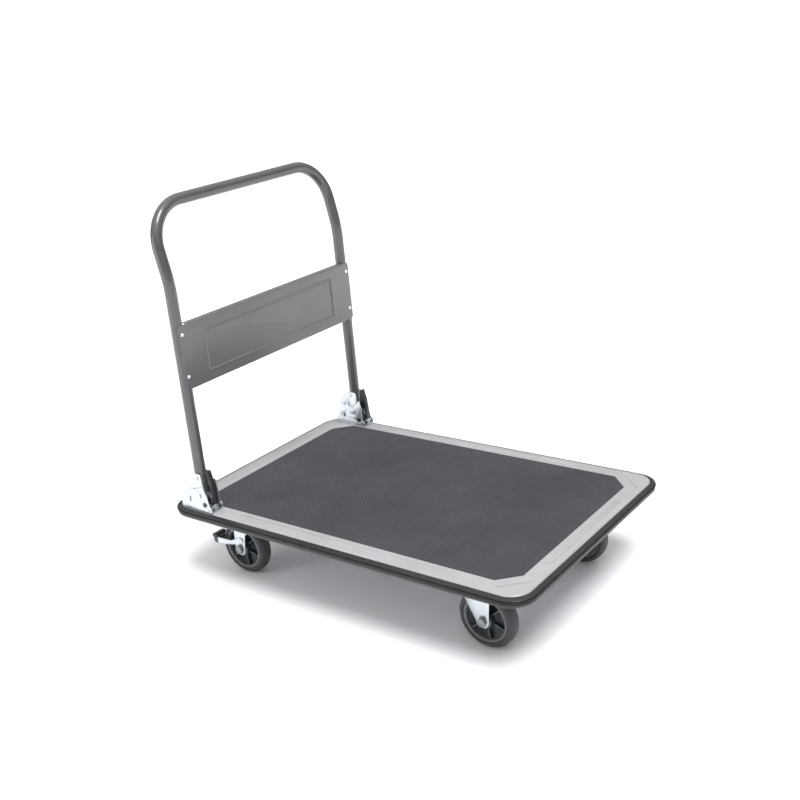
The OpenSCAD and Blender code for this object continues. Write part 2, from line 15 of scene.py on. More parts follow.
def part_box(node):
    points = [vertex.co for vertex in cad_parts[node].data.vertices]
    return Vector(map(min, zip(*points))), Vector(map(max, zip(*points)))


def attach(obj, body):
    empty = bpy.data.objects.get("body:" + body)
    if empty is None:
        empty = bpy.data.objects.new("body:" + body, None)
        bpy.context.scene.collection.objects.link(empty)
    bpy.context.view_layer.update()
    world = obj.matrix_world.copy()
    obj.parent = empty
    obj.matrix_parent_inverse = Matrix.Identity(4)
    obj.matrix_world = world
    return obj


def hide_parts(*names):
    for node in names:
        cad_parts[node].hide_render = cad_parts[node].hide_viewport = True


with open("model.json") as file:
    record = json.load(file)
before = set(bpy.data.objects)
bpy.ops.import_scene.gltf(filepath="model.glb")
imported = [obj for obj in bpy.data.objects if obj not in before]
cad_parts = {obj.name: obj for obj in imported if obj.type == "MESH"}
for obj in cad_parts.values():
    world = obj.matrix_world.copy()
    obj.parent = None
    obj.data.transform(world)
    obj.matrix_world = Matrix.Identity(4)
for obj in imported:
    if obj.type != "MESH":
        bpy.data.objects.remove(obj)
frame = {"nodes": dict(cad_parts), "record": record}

LOG = logging.getLogger("platform_cart")
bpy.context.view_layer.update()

Colour = tuple[float, float, float]
Feed = Union[float, Sequence[float], NodeSocket]
Given = dict[str, NodeSocket]
Section = tuple[tuple[tuple[float, float], float], ...]


class Side(Enum):
    """Which side of the cart a piece is on; the value is the sign of its Y."""

    RIGHT = -1
    LEFT = 1

    @property
    def word(self) -> str:
        """The side's name as the frame's nodes and bodies spell it."""
        return self.name.lower()


class Texture(Enum):
    """How a finish breaks up its surface."""

    PEEL = "peel"
    DRAWN = "drawn"
    MOULDED = "moulded"


class Ease(Enum):
    """Radius left on a piece's sharp edges by the way it is made, in metres."""

    NONE = 0.0
    TURNED = 0.0004
    CUT = 0.0005
    STAMPED = 0.0006
    FORGED = 0.0007
    FORMED = 0.0008
    MOULDED = 0.0012
    PADDED = 0.0016


# ---------- node wiring ----------


class Wiring:
    """Adds nodes to one tree and joins them."""

    def __init__(self, tree: NodeTree) -> None:
        """Keeps the tree that every later call adds to."""
        self.tree = tree

    def add(self, kind: str, feeds: Optional[dict[Union[str, int], Feed]] = None,
            **settings: object) -> Node:
        """Adds one node.

        Args:
            kind: The node's type name.
            feeds: What goes into its inputs, by name or number: a value or another node's socket.
            **settings: Attributes set on the node first.

        Returns:
            The new node.
        """
        node = self.tree.nodes.new(kind)
        for name, value in settings.items():
            setattr(node, name, value)
        for key, value in (feeds or {}).items():
            self.feed(node.inputs[key], value)
        return node

    def feed(self, socket: NodeSocket, value: Feed) -> None:
        """Links a socket into an input, or sets the input to a value."""
        if isinstance(value, NodeSocket):
            self.tree.links.new(value, socket)
        elif isinstance(value, (int, float)):
            socket.default_value = value
        else:
            channels = tuple(value)
            wants_alpha = socket.type == "RGBA" and len(channels) == 3
            socket.default_value = (*channels, 1.0) if wants_alpha else channels

    def math(self, operation: str, a: Feed, b: Feed = 0.0, clamp: bool = False) -> NodeSocket:
        """Adds a Math node and gives its result."""
        return self.add("ShaderNodeMath", {0: a, 1: b}, operation=operation, use_clamp=clamp).outputs[0]

    def spread(self, value: Feed, low: Feed, high: Feed, start: float = 0.0, stop: float = 1.0) -> NodeSocket:
        """Maps a value from start..stop to low..high, clamped."""
        feeds = {"Value": value, "From Min": start, "From Max": stop, "To Min": low, "To Max": high}
        return self.add("ShaderNodeMapRange", feeds).outputs["Result"]

    def blend(self, factor: Feed, a: Feed, b: Feed) -> NodeSocket:
        """Mixes two colours and gives the result."""
        node = self.add("ShaderNodeMix", data_type="RGBA")
        sockets = [s for s in node.inputs if s.enabled]
        for socket, value in zip(sockets, (factor, a, b)):
            self.feed(socket, value)
        return next(s for s in node.outputs if s.enabled)

    def noise(self, vector: Feed, scale: Feed, detail: float = 3.0, rough: float = 0.55) -> NodeSocket:
        """Adds a noise texture and gives its value."""
        feeds = {"Vector": vector, "Scale": scale, "Detail": detail, "Roughness": rough}
        return self.add("ShaderNodeTexNoise", feeds).outputs[0]


# ---------- shared effects ----------


def cloud_tone(w: Wiring, given: Given) -> NodeSocket:
    """Slow variation between Low and High."""
    value = w.noise(given["Vector"], given["Scale"], 4.0, 0.6)
    return w.spread(value, given["Low"], given["High"], 0.32, 0.68)


def fine_peel(w: Wiring, given: Given) -> NodeSocket:
    """Height of a sprayed or moulded skin: small soft lumps over a finer grain."""
    lumps = w.noise(given["Vector"], given["Scale"], 1.0, 0.4)
    grain = w.noise(given["Vector"], w.math("MULTIPLY", given["Scale"], 4.0), 2.0, 0.6)
    return w.math("ADD", lumps, w.math("MULTIPLY", grain, given["Grain"]))


def edge_rub(w: Wiring, given: Given) -> NodeSocket:
    """Mask along outer edges, broken up by noise: partly wear where handling has polished or worn the piece,
    partly a painted highlight along edges that catch the light.
    """
    soft = w.add("ShaderNodeBevel", {"Radius": given["Width"]}, samples=4).outputs[0]
    true = w.add("ShaderNodeNewGeometry").outputs["Normal"]
    dot = w.add("ShaderNodeVectorMath", {0: soft, 1: true}, operation="DOT_PRODUCT").outputs["Value"]
    edge = w.spread(dot, 1.0, 0.0, 0.78, 0.985)
    patches = w.spread(w.noise(given["Vector"], given["Patches"], 5.0, 0.65), 0.0, 1.0, 0.42, 0.6)
    return w.math("MULTIPLY", w.math("MULTIPLY", edge, patches), given["Amount"], clamp=True)


def settled_dust(w: Wiring, given: Given) -> NodeSocket:
    """Mask for fine dust on faces that look up."""
    normal = w.add("ShaderNodeNewGeometry").outputs["Normal"]
    up = w.spread(w.add("ShaderNodeSeparateXYZ", {0: normal}).outputs["Z"], 0.0, 1.0, 0.5, 1.0)
    patches = w.spread(w.noise(given["Vector"], given["Scale"], 6.0, 0.7), 0.0, 1.0, 0.35, 0.8)
    return w.math("MULTIPLY", w.math("MULTIPLY", up, patches), given["Amount"], clamp=True)


def drawn_lines(w: Wiring, given: Given) -> NodeSocket:
    """Fine parallel lines left by rolling or polishing, along X."""
    feeds = {"Vector": given["Vector"], "Scale": (0.03, 1.0, 1.0)}
    value = w.noise(w.add("ShaderNodeMapping", feeds).outputs[0], given["Scale"], 2.0, 0.5)
    return w.spread(value, given["Low"], given["High"], 0.3, 0.7)


def crystal_tone(w: Wiring, given: Given) -> NodeSocket:
    """Faint patches of plating, each a little lighter or darker than the next."""
    feeds = {"Vector": given["Vector"], "Scale": given["Scale"]}
    cells = w.add("ShaderNodeTexVoronoi", feeds, feature="SMOOTH_F1")
    grey = w.add("ShaderNodeRGBToBW", {0: cells.outputs["Color"]}).outputs[0]
    return w.spread(grey, given["Low"], given["High"], 0.2, 0.8)


EFFECTS: dict[str, tuple[Callable[[Wiring, Given], NodeSocket], dict[str, float]]] = {
    "cloud_tone": (cloud_tone, {"Scale": 8.0, "Low": 0.0, "High": 1.0}),
    "fine_peel": (fine_peel, {"Scale": 500.0, "Grain": 0.25}),
    "edge_rub": (edge_rub, {"Width": 0.001, "Patches": 60.0, "Amount": 0.5}),
    "settled_dust": (settled_dust, {"Scale": 25.0, "Amount": 0.2}),
    "drawn_lines": (drawn_lines, {"Scale": 900.0, "Low": 0.0, "High": 1.0}),
    "crystal_tone": (crystal_tone, {"Scale": 120.0, "Low": 0.0, "High": 1.0}),
}


def effect_group(name: str) -> NodeTree:
    """Gives a shared effect's group, building it the first time."""
    found = bpy.data.node_groups.get(name)
    if found:
        return found
    maker, inputs = EFFECTS[name]
    tree = bpy.data.node_groups.new(name, "ShaderNodeTree")
    tree.interface.new_socket(name="Vector", in_out="INPUT", socket_type="NodeSocketVector")
    for label, value in inputs.items():
        socket = tree.interface.new_socket(name=label, in_out="INPUT", socket_type="NodeSocketFloat")
        socket.default_value = value
    tree.interface.new_socket(name="Value", in_out="OUTPUT", socket_type="NodeSocketFloat")
    w = Wiring(tree)
    given = {s.name: s for s in w.add("NodeGroupInput").outputs}
    w.feed(w.add("NodeGroupOutput").inputs[0], maker(w, given))
    return tree


def effect(w: Wiring, name: str, **feeds: Feed) -> NodeSocket:
    """Puts a shared effect in a material.

    Args:
        w: The material's wiring.
        name: The effect's name.
        **feeds: Values or sockets for its inputs.

    Returns:
        Its one output.
    """
    return w.add("ShaderNodeGroup", feeds, node_tree=effect_group(name)).outputs["Value"]


# ---------- finishes ----------


@dataclass(frozen=True)
class Finish:
    """One surface finish: its colours, its gloss and how it is broken up. Its lighter edge colour is partly
    wear and partly a painted highlight.

    Scales (cloud, peel) are noise scales per metre; bump is a strength, depth and the lighter edges' width are
    metres.
    """

    name: str
    slot: str
    base: Colour
    tone: Colour
    rub: Colour
    rough: tuple[float, float]
    texture: Texture = Texture.PEEL
    metallic: float = 0.0
    coat: float = 0.0
    coat_rough: float = 0.1
    specular: float = 0.5
    cloud: float = 9.0
    peel: float = 420.0
    grain: float = 0.25
    bump: float = 0.12
    depth: float = 0.0002
    rub_width: float = 0.0012
    rub_amount: float = 0.35
    dust: float = 0.08
    dust_colour: Colour = (0.55, 0.53, 0.5)

    def material(self) -> bpy.types.Material:
        """Gives the finish as a material, building it the first time.

        Returns:
            The material.
        """
        label = f"{self.name}_finish"
        found = bpy.data.materials.get(label)
        if found:
            return found
        made = bpy.data.materials.new(label)
        made.use_nodes = True
        made.node_tree.nodes.clear()
        w = Wiring(made.node_tree)
        where = w.add("ShaderNodeTexCoord").outputs["Object"]
        tone = effect(w, "cloud_tone", Vector=where, Scale=self.cloud)
        if self.texture is Texture.DRAWN:
            patches = effect(w, "crystal_tone", Vector=where, Scale=self.cloud * 12.0)
            tone = w.math("MULTIPLY", w.math("ADD", tone, patches), 0.5)
        colour = w.blend(tone, self.base, self.tone)
        # Lighter edges: wear on most finishes, a painted highlight on the dark bumper and hub.
        rub = effect(w, "edge_rub", Vector=where, Width=self.rub_width, Amount=self.rub_amount)
        colour = w.blend(rub, colour, self.rub)
        dust = effect(w, "settled_dust", Vector=where, Amount=self.dust)
        colour = w.blend(dust, colour, self.dust_colour)
        low, high = self.rough
        rough = effect(w, "cloud_tone", Vector=where, Scale=self.cloud * 5.0, Low=low, High=high)
        rough = w.math("ADD", rough, w.math("MULTIPLY", dust, 0.5), clamp=True)
        if self.texture is Texture.DRAWN:
            height = effect(w, "drawn_lines", Vector=where, Scale=self.peel)
        else:
            height = effect(w, "fine_peel", Vector=where, Scale=self.peel, Grain=self.grain)
        bump = w.add("ShaderNodeBump", {"Strength": self.bump, "Distance": self.depth, "Height": height})
        shader = w.add("ShaderNodeBsdfPrincipled", {
            "Base Color": colour, "Roughness": rough, "Metallic": self.metallic, "Normal": bump.outputs[0],
            "Coat Weight": self.coat, "Coat Roughness": self.coat_rough, "Specular IOR Level": self.specular,
        })
        out = w.add("ShaderNodeOutputMaterial")
        w.feed(out.inputs["Surface"], shader.outputs[0])
        return made


DECK_PAINT = Finish(
    "deck_paint", "deck_paint", (0.345, 0.350, 0.362), (0.400, 0.406, 0.418), (0.52, 0.53, 0.54), (0.30, 0.40),
    coat=0.3, coat_rough=0.16, peel=700.0, bump=0.04, rub_amount=0.15, dust=0.04, dust_colour=(0.3, 0.3, 0.3))
MAT_RUBBER = Finish(
    "mat_rubber", "mat_rubber", (0.044, 0.043, 0.050), (0.058, 0.057, 0.065), (0.08, 0.08, 0.088), (0.62, 0.8),
    Texture.MOULDED, specular=0.3, cloud=5.0, peel=900.0, grain=0.6, rub_amount=0.1, dust=0.06,
    dust_colour=(0.12, 0.12, 0.125))
# The bumper's light edge colour, far above its near-black base, is a painted highlight along the rib and the
# lobes' edges.
BUMPER_RUBBER = Finish(
    "bumper_rubber", "bumper_rubber", (0.016, 0.016, 0.018), (0.022, 0.022, 0.024), (0.30, 0.30, 0.31),
    (0.34, 0.46), Texture.MOULDED, coat=0.18, coat_rough=0.15, specular=0.35, cloud=14.0, peel=900.0, bump=0.03,
    rub_width=0.0006, rub_amount=0.12, dust=0.03, dust_colour=(0.1, 0.1, 0.1))
HANDLE_PAINT = Finish(
    "handle_paint", "handle_paint", (0.142, 0.142, 0.150), (0.160, 0.160, 0.168), (0.26, 0.26, 0.27),
    (0.30, 0.38), metallic=0.1, coat=0.25, coat_rough=0.2, peel=650.0, bump=0.04, rub_amount=0.1, dust=0.03,
    dust_colour=(0.3, 0.3, 0.3))
# A darker copy of the handle paint for the tube: the darker base is painted shade, the legs being lit less than
# the panel.
SHADED_TUBE_PAINT = replace(
    HANDLE_PAINT, name="tube_paint", base=(0.074, 0.074, 0.078), tone=(0.092, 0.092, 0.096), coat=0.7,
    coat_rough=0.06)
UNDER_PAINT = Finish(
    "underframe_paint", "underframe_paint", (0.36, 0.365, 0.375), (0.44, 0.445, 0.455), (0.5, 0.5, 0.5),
    (0.42, 0.55), metallic=0.1, peel=600.0, bump=0.16, dust=0.2)
ZINC = Finish(
    "zinc_plate", "zinc_plate", (0.56, 0.60, 0.63), (0.72, 0.76, 0.78), (0.86, 0.89, 0.91), (0.29, 0.36),
    Texture.DRAWN, metallic=0.96, cloud=16.0, peel=1500.0, bump=0.03, rub_amount=0.1, dust=0.03)
FASTENER = Finish(
    "fastener_zinc", "fastener_zinc", (0.58, 0.61, 0.64), (0.74, 0.77, 0.8), (0.85, 0.87, 0.9), (0.29, 0.40),
    Texture.DRAWN, metallic=0.92, cloud=60.0, peel=2600.0, bump=0.08, dust=0.03)
HARDENED = replace(
    FASTENER, name="hardened_steel", base=(0.045, 0.05, 0.052), tone=(0.085, 0.092, 0.095),
    rub=(0.35, 0.37, 0.38), rough=(0.30, 0.42), metallic=0.8)
# A darker copy of the fastener zinc, put on the axles and their nuts.
DARKER_AXLE_STEEL = replace(
    FASTENER, name="dull_steel", base=(0.20, 0.215, 0.225), tone=(0.30, 0.32, 0.33), rub=(0.62, 0.65, 0.67),
    metallic=0.9)
BEARING = Finish(
    "bearing_steel", "bearing_steel", (0.55, 0.56, 0.57), (0.66, 0.67, 0.68), (0.8, 0.8, 0.8), (0.29, 0.38),
    Texture.DRAWN, metallic=0.96, cloud=70.0, peel=3000.0, bump=0.05, dust=0.02)
ALUMINIUM = replace(
    BEARING, name="rivet_aluminium", slot="rivet_aluminium", base=(0.78, 0.78, 0.79), tone=(0.88, 0.88, 0.88),
    rub=(0.95, 0.95, 0.95), metallic=0.85, cloud=90.0)
TYRE = Finish(
    "tyre_rubber", "tyre_rubber", (0.044, 0.044, 0.047), (0.058, 0.058, 0.062), (0.09, 0.09, 0.09),
    (0.5, 0.66), Texture.MOULDED, cloud=22.0, peel=1100.0, grain=0.5, bump=0.08, rub_amount=0.1, dust=0.05,
    dust_colour=(0.2, 0.2, 0.2))
# The hub's light edge colour is a painted highlight along its rib edges.
HUB = Finish(
    "hub_plastic", "hub_plastic", (0.018, 0.024, 0.032), (0.030, 0.038, 0.048), (0.26, 0.30, 0.34),
    (0.30, 0.42), Texture.MOULDED, cloud=26.0, peel=1300.0, bump=0.04, rub_amount=0.12, dust=0.04)
# The ring finish: the ring's own grey, also put on the rib fronts as a painted highlight; its light edge colour
# is a painted highlight too.
HUB_RING_AND_HIGHLIGHT = replace(
    HUB, name="hub_ring_plastic", base=(0.105, 0.105, 0.112), tone=(0.135, 0.135, 0.142),
    rub=(0.22, 0.22, 0.23), rough=(0.34, 0.46), bump=0.1, rub_amount=0.4)
BLACK_PLASTIC = Finish(
    "black_plastic", "black_plastic", (0.017, 0.02, 0.021), (0.028, 0.031, 0.033), (0.08, 0.09, 0.09),
    (0.3, 0.44), Texture.MOULDED, cloud=40.0, peel=1500.0, bump=0.16, rub_amount=0.5, dust=0.05)
NYLON = Finish(
    "nylon", "nylon", (0.66, 0.65, 0.6), (0.74, 0.73, 0.69), (0.85, 0.85, 0.82), (0.36, 0.48),
    Texture.MOULDED, cloud=60.0, peel=1500.0, bump=0.08, dust=0.03)
FINISHES = {f.slot: f for f in (DECK_PAINT, MAT_RUBBER, BUMPER_RUBBER, HANDLE_PAINT, UNDER_PAINT, ZINC,
                                FASTENER, BEARING, ALUMINIUM, TYRE, HUB, BLACK_PLASTIC, NYLON)}


# ---------- bmesh helpers ----------


def moved(bm: BMesh, matrix: Matrix, verts: Sequence[BMVert]) -> None:
    """Applies a matrix to some vertices."""
    bmesh.ops.transform(bm, matrix=matrix, verts=list(verts))


def verts_in(geom: Iterable[object]) -> list[BMVert]:
    """The vertices among what an operator gave back."""
    return [g for g in geom if isinstance(g, BMVert)]


def since(now: Iterable[object], known: set[object]) -> list[object]:
    """What has been added to a mesh's vertices, edges or faces since they were noted."""
    return [g for g in now if g not in known]


def level_edges(bm: BMesh, height: float) -> list[BMEdge]:
    """The edges that lie level at a height."""
    return [e for e in bm.edges if all(abs(v.co.z - height) < 1e-5 for v in e.verts)]


def sharp_edges(edges: Iterable[BMEdge], angle: float) -> list[BMEdge]:
    """The edges whose two faces meet at more than an angle."""
    return [e for e in edges if len(e.link_faces) == 2 and e.calc_face_angle(0.0) > angle]


def rounded(bm: BMesh, edges: Sequence[BMEdge], offset: float, segments: int = 3, clamp: bool = True) -> None:
    """Rounds some edges."""
    bmesh.ops.bevel(bm, geom=list(edges), offset=offset, offset_type="OFFSET", affect="EDGES",
                    segments=segments, profile=0.5, material=-1, clamp_overlap=clamp)


def corners_cut(bm: BMesh, verts: Sequence[BMVert], radius: float, segments: int) -> None:
    """Rounds some corners of a flat face."""
    bmesh.ops.bevel(bm, geom=list(verts), offset=radius, offset_type="OFFSET", affect="VERTICES",
                    segments=segments, profile=0.5, material=-1)


def rounded_face(bm: BMesh, size: tuple[float, float], radius: float, segments: int = 8) -> BMFace:
    """Makes a flat rounded rectangle round the origin in X and Y, facing up.

    Args:
        bm: The mesh that it is added to.
        size: Its length along X and its width along Y.
        radius: The corner radius.
        segments: Steps round each corner.

    Returns:
        The one face.
    """
    known = set(bm.faces)
    corners = bmesh.ops.create_grid(bm, x_segments=1, y_segments=1, size=0.5)["verts"]
    bmesh.ops.scale(bm, vec=(size[0], size[1], 1.0), verts=corners)
    corners_cut(bm, corners, radius, segments)
    return next(f for f in bm.faces if f not in known)


def thickened(bm: BMesh, face: BMFace, offset: Sequence[float]) -> list[BMFace]:
    """Extrudes one open face into a closed block and gives the block's faces."""
    known = set(bm.faces) - {face}
    made = bmesh.ops.extrude_face_region(bm, geom=[face])["geom"]
    bmesh.ops.translate(bm, vec=Vector(offset), verts=verts_in(made))
    block = since(bm.faces, known)
    bmesh.ops.recalc_face_normals(bm, faces=block)
    return block


def raised_pad(bm: BMesh, size: tuple[float, float], radius: float, place: Matrix,
               steps: Sequence[tuple[float, float]], root: float = 0.0008) -> None:
    """Adds a closed pad with soft shoulders, as a press leaves it.

    Args:
        bm: The mesh that it is added to.
        size: Length and width of its foot.
        radius: Corner radius of its foot.
        place: Where its foot's middle goes, with its Z pointing out of the sheet.
        steps: Each shoulder's inset and rise.
        root: How far the pad reaches down into the sheet.
    """
    known = set(bm.verts)
    block = thickened(bm, rounded_face(bm, size, radius), (0.0, 0.0, -root))
    top = max(block, key=lambda f: f.calc_center_median().z)
    for inset, rise in steps:
        bmesh.ops.inset_region(bm, faces=[top], thickness=inset, depth=rise, use_even_offset=True)
    moved(bm, place, since(bm.verts, known))


def section_loop(bm: BMesh, points: Sequence[tuple[Vector, float]], segments: int = 4) -> list[BMEdge]:
    """Makes a closed outline through a few corners, each rounded off.

    Args:
        bm: The mesh that it is added to.
        points: Each corner and its radius, 0 for a sharp one.
        segments: Steps round each corner.

    Returns:
        The outline's edges.
    """
    known = set(bm.edges)
    face = bm.faces.new([bm.verts.new(p) for p, _ in points])
    corners = list(face.verts)
    for vert, (_, radius) in zip(corners, points):
        if radius > 0:
            corners_cut(bm, [vert], radius, segments)
    filled = [f for f in bm.faces if all(e not in known for e in f.edges)]
    bmesh.ops.delete(bm, geom=filled, context="FACES_ONLY")
    return since(bm.edges, known)


def drawn_on(bm: BMesh, loop: Sequence[BMEdge], offset: Vector) -> list[BMEdge]:
    """Extrudes an outline straight and gives its new end."""
    made = bmesh.ops.extrude_edge_only(bm, edges=list(loop))["geom"]
    bmesh.ops.translate(bm, vec=offset, verts=verts_in(made))
    return [g for g in made if isinstance(g, BMEdge)]


def bent_on(bm: BMesh, loop: Sequence[BMEdge], centre: Vector, axis: Vector, angle: float,
            steps: int) -> list[BMEdge]:
    """Spins an outline round a bend and gives its new end."""
    verts = list({v for e in loop for v in e.verts})
    made = bmesh.ops.spin(bm, geom=verts + list(loop), cent=centre, axis=axis, angle=angle, steps=steps,
                          use_merge=False, use_duplicate=False)["geom_last"]
    return [g for g in made if isinstance(g, BMEdge)]


def mirrored(half: Section) -> Section:
    """The other half of a turned section, in the order that closes it."""
    return tuple(((radius, -y), rounding) for (radius, y), rounding in reversed(half))


def turned(bm: BMesh, points: Section, centre: Vector, steps: int, segments: int) -> None:
    """Turns a closed section of radius and Y right round a centre's Y axis.

    Args:
        bm: The mesh that it is added to.
        points: Each corner's radius and Y from the centre, and its rounding.
        centre: The middle of the turned piece.
        steps: Steps round the turn.
        segments: Steps round each rounded corner.
    """
    known = set(bm.faces)
    loop = section_loop(bm, [(centre + Vector((r, y, 0.0)), c) for (r, y), c in points], segments)
    verts = list({v for e in loop for v in e.verts})
    bmesh.ops.spin(bm, geom=verts + loop, cent=centre, axis=(0.0, 1.0, 0.0), angle=math.tau, steps=steps,
                   use_merge=True, use_duplicate=False)
    bmesh.ops.recalc_face_normals(bm, faces=since(bm.faces, known))


@dataclass
class SubAssembly:
    """Something the cart is made of: builds its meshes and dresses them."""

    made: list[bpy.types.Object] = field(default_factory=list)

    def finish_piece(self, name: str, bm: BMesh, finishes: Sequence[Finish], replaces: Sequence[str],
                     crease: float = 32.0) -> bpy.types.Object:
        """Turns a bmesh into a piece that rides on the replaced nodes' body.

        Args:
            name: The piece's name.
            bm: Its mesh, in place.
            finishes: Its finishes, in the order of its material slots.
            replaces: The frame's nodes that it stands for.
            crease: Angle in degrees from which an edge is shaded sharp.

        Returns:
            The finished object.
        """
        mesh = bpy.data.meshes.new(name)
        bm.to_mesh(mesh)
        bm.free()
        mesh.shade_smooth()
        mesh.set_sharp_from_angle(angle=math.radians(crease))
        piece = bpy.data.objects.new(name, mesh)
        bpy.context.scene.collection.objects.link(piece)
        for finish in finishes:
            mesh.materials.append(finish.material())
        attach(piece, body_of_node(replaces[0]))
        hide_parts(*replaces)
        self.made.append(piece)
        LOG.info("%s: %d faces in %s", name, len(mesh.polygons), finishes[0].name)
        return piece

    def eased(self, node: str, ease: Ease, segments: int = 2, finish: Optional[Finish] = None) -> None:
        """Dresses a node's own shape with its sharp edges eased, as a stamped or moulded piece has them.

        Args:
            node: The frame's node.
            ease: How far its edges are eased.
            segments: Steps round each edge.
            finish: Its finish; the one of its slot if none is given.
        """
        bm = bmesh.new()
        bm.from_mesh(frame["nodes"][node].data)
        bmesh.ops.remove_doubles(bm, verts=bm.verts, dist=2e-6)
        bmesh.ops.dissolve_limit(bm, angle_limit=math.radians(0.4), verts=bm.verts, edges=bm.edges,
                                 use_dissolve_boundaries=False)
        edges = sharp_edges(bm.edges, math.radians(34))
        if edges and ease is not Ease.NONE:
            rounded(bm, edges, ease.value, segments, clamp=False)
        bmesh.ops.triangulate(bm, faces=[f for f in bm.faces if len(f.verts) > 4])
        self.finish_piece(f"{node}_eased", bm, [finish or FINISHES[slot_of_node(node)]], [node], 40.0)


def body_of_node(node: str) -> str:
    """The body that a node belongs to."""
    for body, members in frame["record"]["behaviour"]["bodies"].items():
        if node in members:
            return body
    raise KeyError(node)


def slot_of_node(node: str) -> str:
    """The material slot that a node has in the record."""
    return next(part["material_slot"] for part in frame["record"]["subparts"] if part["node"] == node)


def middle(node: str) -> Vector:
    """The middle of a node's box."""
    low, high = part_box(node)
    return (Vector(low) + Vector(high)) / 2


# ---------- platform ----------


